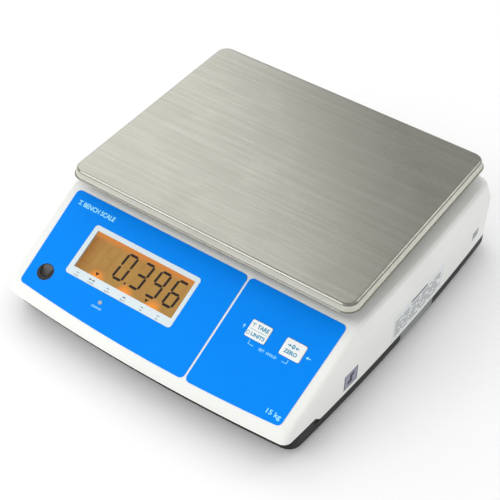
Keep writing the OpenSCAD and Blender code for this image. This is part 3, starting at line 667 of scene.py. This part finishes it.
def lettering(words, x, s, width, cap, n, bold=0.0):
    """Generic words as a thin raised print, centred on the panel at (x, s)."""
    idle()
    bpy.ops.object.text_add()
    text = bpy.context.object
    text.data.body = words
    text.data.offset = bold
    text.data.resolution_u = 3
    take(text)
    bpy.ops.object.convert(target="MESH")
    text = bpy.context.object
    co = [v.co for v in text.data.vertices]
    lo = Vector((min(c.x for c in co), min(c.y for c in co), 0))
    hi = Vector((max(c.x for c in co), max(c.y for c in co), 0))
    size = hi - lo
    scale = Matrix.Diagonal((width * mm / size.x, cap * mm / size.y, 1, 1))
    place(text, scale @ Matrix.Translation(-(lo + hi) / 2))
    apply(text, "SOLIDIFY", thickness=ink * mm, offset=1)
    return place(text, panel @ Matrix.Translation((x * mm, -s * mm, n * mm)))


def stroke(points, n, thick=ink):
    """A flat printed shape from its corners (x, s), given a thickness of ink."""
    shape = start("circle", "stroke", vertices=len(points), radius=1 * mm, fill_type="NGON")
    edit(shape, "VERT")
    mesh = bmesh.from_edit_mesh(shape.data)
    mesh.verts.ensure_lookup_table()
    for v, (x, s) in zip(list(mesh.verts), points):
        v.co = Vector((x * mm, -s * mm, 0))
    mesh.normal_update()
    bmesh.update_edit_mesh(shape.data)
    bpy.ops.mesh.select_all(action="SELECT")
    if list(mesh.faces)[0].normal.z < 0:
        bpy.ops.mesh.flip_normals()
    idle()
    apply(shape, "SOLIDIFY", thickness=thick * mm, offset=1)
    return place(shape, panel @ Matrix.Translation((0, 0, n * mm)))


def line(x0, s0, x1, s1, w, n):
    """A printed line of width w."""
    d = Vector((x1 - x0, s1 - s0)).normalized() * w / 2
    return stroke([(x0 - d.y, s0 + d.x), (x1 - d.y, s1 + d.x), (x1 + d.y, s1 - d.x),
                   (x0 + d.y, s0 - d.x)], n)


def circle_points(x, s, r, count):
    turns = [2 * math.pi * k / count for k in range(count)]
    return [(x + r * math.cos(a), s + r * math.sin(a)) for a in turns]


# Print on the film and on the keycaps starts at these heights above the film.
face, top = 0.01, 0.71
print_marks = [
    lettering("BENCH SCALE", -110.0, 10.7, 35, 4.6, face, bold=0.03),
    lettering("15 kg", 127.2, 92.2, 13.6, 5.6, face, bold=0.015),
    lettering("CHARGE", -58.8, 86.3, 10, 1.8, face, bold=0.02),
    lettering("SET  HOLD", 95.2, 51.1, 17.2, 2.3, face, bold=0.02),
    line(76.1, 47.8, 76.1, 51.3, 0.45, face), line(76.1, 51.2, 81.4, 51.2, 0.45, face),
    line(113.6, 47.8, 113.6, 51.3, 0.45, face), line(113.6, 51.2, 109.0, 51.2, 0.45, face),
    stroke([(63.6, 39.4), (66.2, 39.4), (64.9, 37.6)], face),
    line(64.9, 39.2, 64.9, 41.3, 0.6, face),
    stroke([(127.2, 37.5), (127.2, 40.3), (124.9, 38.9)], face),
    line(127, 38.9, 129.4, 38.9, 0.7, face),
]
# A plain weighing-pan mark beside the words.
print_marks += [line(-133.3, 8.9, -129.3, 8.9, 0.8, face),
                line(-131.3, 9.0, -131.3, 12.2, 0.8, face),
                line(-132.9, 12.3, -129.7, 12.3, 0.8, face)]
done(join("film_print", print_marks), "housing", pale_ink, weigh=False)

tare_marks = [lettering("TARE", 81.3, 35.0, 11.2, 3.7, top, bold=0.04),
              lettering("UNITS", 80.4, 42.7, 13.2, 3.5, top, bold=0.04),
              line(70.6, 38.95, 87.2, 38.95, 0.35, top),
              line(70.4, 33.9, 74.0, 33.9, 0.6, top), line(72.2, 34.0, 72.2, 36.6, 0.6, top),
              line(69.9, 41.4, 69.9, 44.4, 0.45, top), line(69.9, 44.3, 72.3, 44.3, 0.45, top),
              line(72.2, 44.4, 72.2, 41.4, 0.45, top), line(69.8, 41.5, 72.3, 41.5, 0.45, top)]
done(join("tare_legend", tare_marks), "tare_key", key_ink, weigh=False)
zero_marks = [lettering("ZERO", 111.9, 41.8, 12.4, 3.6, top, bold=0.04),
              lettering("0", 111.7, 36.3, 3.0, 4.0, top, bold=0.05),
              line(106.2, 36.3, 108.6, 36.3, 0.8, top),
              stroke([(107.9, 34.9), (107.9, 37.7), (109.9, 36.3)], top),
              line(117.2, 36.3, 114.8, 36.3, 0.8, top),
              stroke([(115.5, 34.9), (115.5, 37.7), (113.5, 36.3)], top)]
done(join("zero_legend", zero_marks), "zero_key", key_ink, weigh=False)

# ---------------------------------------------------------------- display
# The glass lies below the film, so what is drawn on it is set over by its depth.
glass_n = -3.08
shift_x, shift_s = 0.517 * glass_n, 0.22 * glass_n
digit_h, digit_w, bar_w, lean = 27.2, 11.9, 2.4, math.tan(math.radians(5.3))
digit_foot, bar_gap = 57.3, 0.28
lit_ink, unlit_ink = 0.05, 0.02


def segments(x0, wanted):
    """The lit bars of one figure, named a to g as on any seven-bar display."""
    h, w, e = digit_h, digit_w, bar_w / 2
    ends = {"a": ((e, h - e), (w - e, h - e)), "b": ((w - e, h - e), (w - e, h / 2)),
            "c": ((w - e, h / 2), (w - e, e)), "d": ((w - e, e), (e, e)),
            "e": ((e, e), (e, h / 2)), "f": ((e, h / 2), (e, h - e)),
            "g": ((e, h / 2), (w - e, h / 2))}
    bars = []
    for letter in wanted:
        p, q = (Vector(v) for v in ends[letter])
        d = (q - p).normalized()
        p, q, side = p + d * bar_gap, q - d * bar_gap, Vector((-d.y, d.x)) * e
        corners = [p, p + d * e + side, q - d * e + side, q, q - d * e - side, p + d * e - side]
        bars.append(stroke([(x0 + c.x + c.y * lean + shift_x, digit_foot - c.y + shift_s)
                            for c in corners], glass_n, lit_ink))
    return bars


def pointer(x, thick):
    """A small triangle that points down at a sign on the border."""
    corners = [(x - 2, 59.3), (x + 2, 59.3), (x, 62.2)]
    return stroke([(px + shift_x, ps + shift_s) for px, ps in corners], glass_n, thick)


figures = {-64.4: "abcdef", -46.5: "abcdg", -28.6: "abcdfg", -10.6: "acdefg"}
lit = [bar for x, bars in figures.items() for bar in segments(x, bars)]
lit.append(stroke(circle_points(-49.1 + shift_x, 56.3 + shift_s, 1.05, 16), glass_n, lit_ink))
lit += [pointer(x, lit_ink) for x in (-76.6, -22.9)]
done(join("lcd_figures", lit), "housing", dark_crystal, weigh=False)


def amber_display(name, base, edge, lamps, dark):
    """A backlit liquid-crystal display: a patchy amber glow with painted shade that darkens it to
    the left, standing for the shade of the window's wall, with a brighter upper edge and three
    lamps that show along the lower one."""
    mat, skin = finish(name, {"Base Color": tint("#140E08"), "Roughness": 0.4,
                              "Specular IOR Level": 0.12, "Emission Strength": 1.0})
    spot = add(mat, "TexCoord").outputs["Object"]
    flat = add(mat, "Mapping", {"Vector": spot, "Location": (0, panel_y, panel_z),
                                "Rotation": (slope, 0, 0)}, vector_type="TEXTURE").outputs[0]
    axes = add(mat, "SeparateXYZ", {0: flat})
    cloud = add(mat, "TexNoise", {"Vector": flat, "Scale": 1 / (14 * mm), "Detail": 2}).outputs[0]
    upper = add(mat, "MapRange", {"Value": axes.outputs["Y"], "From Min": -(34 + shift_s) * mm,
                                  "From Max": -(26 + shift_s) * mm},
                interpolation_type="SMOOTHSTEP").outputs[0]
    # Painted shade: the glow is darkened towards the left edge, where the window's wall shades the
    # glass.
    side = add(mat, "MapRange", {"Value": axes.outputs["X"], "From Min": (-101 + shift_x) * mm,
                                 "From Max": (-84 + shift_x) * mm, "To Min": 1, "To Max": 0},
               interpolation_type="SMOOTHSTEP").outputs[0]
    glow = None
    for x in (-76, -45, -15):
        lamp = ((x + shift_x) * mm, -(65 + shift_s) * mm, glass_n * mm)
        away = add(mat, "VectorMath", {0: flat, 1: lamp}, operation="DISTANCE").outputs["Value"]
        one = add(mat, "MapRange", {"Value": away, "From Min": 2 * mm, "From Max": 11 * mm,
                                    "To Min": 1, "To Max": 0},
                  interpolation_type="SMOOTHSTEP").outputs[0]
        if glow is None:
            glow = one
        else:
            glow = add(mat, "Math", {0: glow, 1: one}, operation="MAXIMUM").outputs[0]
    patchy = add(mat, "MapRange", {"Value": cloud, "From Min": 0.3, "From Max": 0.7,
                                   "To Min": 0, "To Max": 0.3}).outputs[0]
    colour = tint(base)
    # The last dark colour serves both the random patches and the painted shade on the left.
    for share, shade in ((patchy, dark), (side, dark), (upper, edge), (glow, lamps)):
        colour = add(mat, "Mix", {0: share, 6: colour, 7: tint(shade)}, data_type="RGBA").outputs[2]
    plug_in(mat, skin, {"Emission Color": colour})
    return mat


# The last colour of each display is for its dark patches and its painted shade at the left edge.
amber = amber_display("amber_backlit_display", "#BA904F", "#DE8A42", "#FF9C40", "#A5703A")
# Segments that are off are still just visible, a shade darker than the glow.
ghost = amber_display("amber_unlit_segment", "#B58B4B", "#D8853F", "#FA983E", "#A06C37")
unlit = [bar for x in (-82.4, -100.0) for bar in segments(x, "abcdefg")]
for x, bars in figures.items():
    unlit += segments(x, [c for c in "abcdefg" if c not in bars])
unlit += [pointer(x, unlit_ink) for x in (-59.4, -41.9, -5.4)]
done(join("lcd_unlit_figures", unlit), "housing", ghost, weigh=False)


def border_loop(x0, x1, s0, s1, r):
    """One edge of the white border that frames the display, just above the window."""
    middle = ((x0 + x1) / 2 * mm, -(s0 + s1) / 2 * mm)
    return [panel @ p for p in plate_outline((x1 - x0) / 2 * mm, (s1 - s0) / 2 * mm, r * mm,
                                             middle, 0.035 * mm, arc=6)]


border = ring_form("window_border", [border_loop(-104.8, 9.7, 21.4, 71.8, 3),
                                     border_loop(-100.1, 5.9, 26.0, 63.7, 0.6)], caps=[])
take(border)
if sum(f.normal.z for f in border.data.polygons) < 0:
    edit(border)
    bpy.ops.mesh.select_all(action="SELECT")
    bpy.ops.mesh.flip_normals()
apply(border, "SOLIDIFY", thickness=0.03 * mm, offset=-1)
done(border, "housing", white_ink, weigh=False)

# Small signs printed on the white border under the display: a mark and a word each.
border_n, word_row, mark_row = 0.04, 70.1, 67.3
signs = []
for x, word, width, mark in (
        (-93, "HOLD", 5, 0.7), (-77.3, "STABLE", 6.5, 0.7), (-59.4, "ZERO", 5, 0.7),
        (-41.9, "BATT", 5, 1.3), (-22.6, "kg", 2.6, 0.7), (-5.4, "lb", 2.4, 0.7)):
    signs.append(lettering(word, x, word_row, width, 1.3, border_n, bold=0.01))
    signs.append(line(x - 1.4, mark_row, x + 1.4, mark_row, mark, border_n))
for x0, x1 in ((-80.3, -78.6), (-76, -74.3)):
    signs.append(line(x0, mark_row, x1, mark_row, 1.6, border_n))
done(join("border_signs", signs), "housing", grey_ink, weigh=False)


def clear_window():
    """Cast acrylic: what lies below shows through, under a faint gloss that varies a little
    from wiping."""
    mat, skin = finish("clear_cast_acrylic", {"Base Color": tint("#0A0C0E"), "Alpha": 0.04,
                                              "IOR": 1.49})
    spot = add(mat, "TexCoord").outputs["Object"]
    fine = add(mat, "TexNoise", {"Vector": spot, "Scale": 1 / (6 * mm), "Detail": 5}).outputs[0]
    gloss = add(mat, "MapRange", {"Value": fine, "To Min": 0.04, "To Max": 0.14}).outputs[0]
    plug_in(mat, skin, {"Roughness": gloss})
    return mat


clear = clear_window()


# ---------------------------------------------------------------- labels on the right-hand wall
leaf_t = 0.06 * mm


def wall_sheet(name, y0, y1, z0, z1, lift, bend_steps=12):
    """A thin sheet laid on the bowed right wall, lift above it, in millimetres."""
    leaf = start("plane", name, size=1)
    edit(leaf, "EDGE")
    bpy.ops.mesh.select_all(action="SELECT")
    bpy.ops.mesh.subdivide(number_cuts=bend_steps if y1 - y0 > 8 else 1)
    mesh = bmesh.from_edit_mesh(leaf.data)
    for v in mesh.verts:
        y, z = (y0 + (v.co.x + 0.5) * (y1 - y0)) * mm, (z0 + (v.co.y + 0.5) * (z1 - z0)) * mm
        v.co = Vector((side_x(y) - shoulder(y, z) + lift * mm, y, z))
    mesh.normal_update()
    bmesh.update_edit_mesh(leaf.data)
    idle()
    apply(leaf, "SOLIDIFY", thickness=leaf_t, offset=-1)
    return leaf


# The big label reaches almost to the widest point of the wall, where the CAD box ends, so it
# lies a hundredth of a millimetre proud and its print only a little more.
for name, (y0, y1, z0, z1), lift, steps, stock in (
        ("rating_label", (-14, 72, 21.5, 52), 0.01, 16, label_paper),
        ("service_label", (-85, -66, 24.5, 42), 0.06, 6, label_dull),
        ("code_label", (128, 141, 31, 43), 0.06, 6, label_paper)):
    done(wall_sheet(name, y0, y1, z0, z1, lift, steps), "housing", stock,
         weigh=False)
# Rows of plain bars stand for the label's lines of text, under one wide heading.
print_lift = 0.015
bars = [wall_sheet("bar", 15, 42, 47.6, 49.8, print_lift)]
for row, z in enumerate((43.5, 40.6, 37.7, 34.8, 31.9, 29, 26.1)):
    y = -10
    while y < 64:
        length = 5 + (row * 7 + int(y + 20) * 5) % 11
        bars.append(wall_sheet("bar", y, min(y + length, 67), z, z + 1.0, print_lift))
        y += length + 2.2 + (row * 3) % 4
done(wall_sheet("label_flap", 3, 57, 9.2, 18.6, 0.08, 12), "housing", label_grey,
     weigh=False)
done(join("rating_label_print", bars), "housing", label_ink, weigh=False)
# The square label's hooked sign and frame, then the code label's upright bars.
small_bars = [(-77, -73.6, 28.5, 38.5), (-80, -76.8, 28.5, 32), (-73.8, -71, 35.5, 38.6),
              (-84.4, -66.6, 41, 41.5), (-84.4, -66.6, 25, 25.5), (-84.4, -83.8, 25, 41.5),
              (-67.2, -66.6, 25, 41.5)]
small_bars += [(129.2 + 1.9 * k, 130.1 + 1.9 * k, 32.5 + (k % 2) * 2, 41.5) for k in range(6)]
small = [wall_sheet("bar", *box, 0.12) for box in small_bars]
done(join("small_label_print", small), "housing", label_ink, weigh=False)

# ---------------------------------------------------------------- CAD nodes that stay in sight
finishes = {
    "tray_plastic": black_abs, "cover_plastic": white_abs, "panel_film": blue_film,
    "window_plastic": clear, "mask_print": white_ink, "lcd": amber, "backlight": white_ink,
    "board": green_board, "zinc_steel": zinc, "black_plastic": gloss_black, "lamp": lens,
    "vial_glass": gloss_black, "milled_aluminium": milled, "spacer_steel": zinc,
    "black_steel": dark_steel, "cable_jacket": cable_grey, "battery_case": battery_grey,
    "insert_brass": brass, "cast_aluminium": cast, "cap_rubber": rubber, "platter_steel": steel,
    "key_plastic": key_white, "rocker_plastic": gloss_black, "pad_rubber": rubber,
    "stem_steel": zinc,
}
for node in nodes.values():
    for slot in node.material_slots:
        slot.material = finishes[slot.material.name.split(".")[0]]


def level_liquid():
    """Smoked glass over tinted spirit: deep brown, clouded a little, with a clear gloss."""
    mat, skin = finish("smoked_level_glass", {"IOR": 1.47, "Coat Weight": 0.6,
                                              "Coat Roughness": 0.05})
    spot = add(mat, "TexCoord").outputs["Object"]
    cloud = add(mat, "TexNoise", {"Vector": spot, "Scale": 1 / (7 * mm), "Detail": 3}).outputs[0]
    colour = add(mat, "Mix", {0: cloud, 6: tint("#2B2119"), 7: tint("#0E0C0B")},
                 data_type="RGBA").outputs[2]
    gloss = add(mat, "MapRange", {"Value": cloud, "To Min": 0.12, "To Max": 0.3}).outputs[0]
    plug_in(mat, skin, {"Base Color": colour, "Roughness": gloss})
    return mat


smoked = level_liquid()
nodes["level_vial"].material_slots[0].material = smoked
# The level's smoked window, dished a little below the film.
lens_steps = ((7.75, -1.9), (7.75, -0.7), (7.45, -0.5), (7.0, -0.62), (5.2, -0.95), (2.5, -1.15))
turns = [2 * math.pi * k / 48 for k in range(48)]
lens_rings = [[on_panel(level_at[0] + r * math.cos(a), level_at[1] - r * math.sin(a), n)
               for a in turns] for r, n in lens_steps]
done(ring_form("level_window", lens_rings, foot=True), "housing", smoked, soften=40)

# ---------------------------------------------------------------- floor, light and camera
floor = start("plane", "floor", size=8, location=(0, 0, -0.2 * mm))
floor.data.materials.append(paper)

world = bpy.data.worlds.new("studio")
bpy.context.scene.world = world
world.use_nodes = True
sky = world.node_tree.nodes["Background"]
sky.inputs["Color"].default_value = (1, 1, 1, 1)
# The room is bright for matt surfaces and dimmer in what the steel mirrors.
room_light, room_mirrored = 0.8, 0.3
rays = world.node_tree.nodes.new("ShaderNodeLightPath")
room = world.node_tree.nodes.new("ShaderNodeMapRange")
room.inputs["To Min"].default_value = room_light
room.inputs["To Max"].default_value = room_mirrored
world.node_tree.links.new(rays.outputs["Is Glossy Ray"], room.inputs["Value"])
world.node_tree.links.new(room.outputs[0], sky.inputs["Strength"])
bpy.context.scene.view_settings.view_transform = "Standard"


def softbox(name, at, aim, size, power, mirrored=True):
    """A soft area lamp; mirrored says whether shiny surfaces show it."""
    lamp = bpy.data.lights.new(name, "AREA")
    lamp.shape, lamp.size, lamp.size_y, lamp.energy = "RECTANGLE", size[0], size[1], power
    holder = bpy.data.objects.new(name, lamp)
    bpy.context.scene.collection.objects.link(holder)
    holder.location = at
    holder.rotation_euler = (Vector(aim) - Vector(at)).to_track_quat("-Z", "Y").to_euler()
    holder.visible_glossy = mirrored


softbox("left_softbox", (-1.5, 0.85, 1.35), (0, 0, 0.05), (1.9, 1.9), 9.2)
softbox("top_softbox", (-0.75, -1.1, 1.25), (0, 0, 0.05), (1.4, 0.9), 7)
softbox("back_softbox", (0.75, 1.3, 1.35), (0, 0, 0.05), (0.8, 0.8), 2.5)
softbox("front_fill", (-0.7, -1.7, 0.35), (0, -0.1, 0.05), (1.4, 0.6), 5, mirrored=False)

camera = bpy.data.cameras.new("camera")
camera.sensor_width, camera.lens = 36, 90.3
viewer = bpy.data.objects.new("camera", camera)
bpy.context.scene.collection.objects.link(viewer)
stand = (0.4526, -0.6756, 0.8282)
azimuth, elevation, roll = math.radians(33.809), math.radians(44.398), math.radians(1.571)
behind = Vector((math.sin(azimuth) * math.cos(elevation), -math.cos(azimuth) * math.cos(elevation),
                 math.sin(elevation)))
across = Vector((math.cos(azimuth), math.sin(azimuth), 0))
upward = behind.cross(across)
to_right = math.cos(roll) * across + math.sin(roll) * upward
to_top = -math.sin(roll) * across + math.cos(roll) * upward
turned = Matrix((to_right, to_top, behind)).transposed().to_4x4()
viewer.matrix_world = Matrix.Translation(stand) @ turned
bpy.context.scene.camera = viewer

idle()
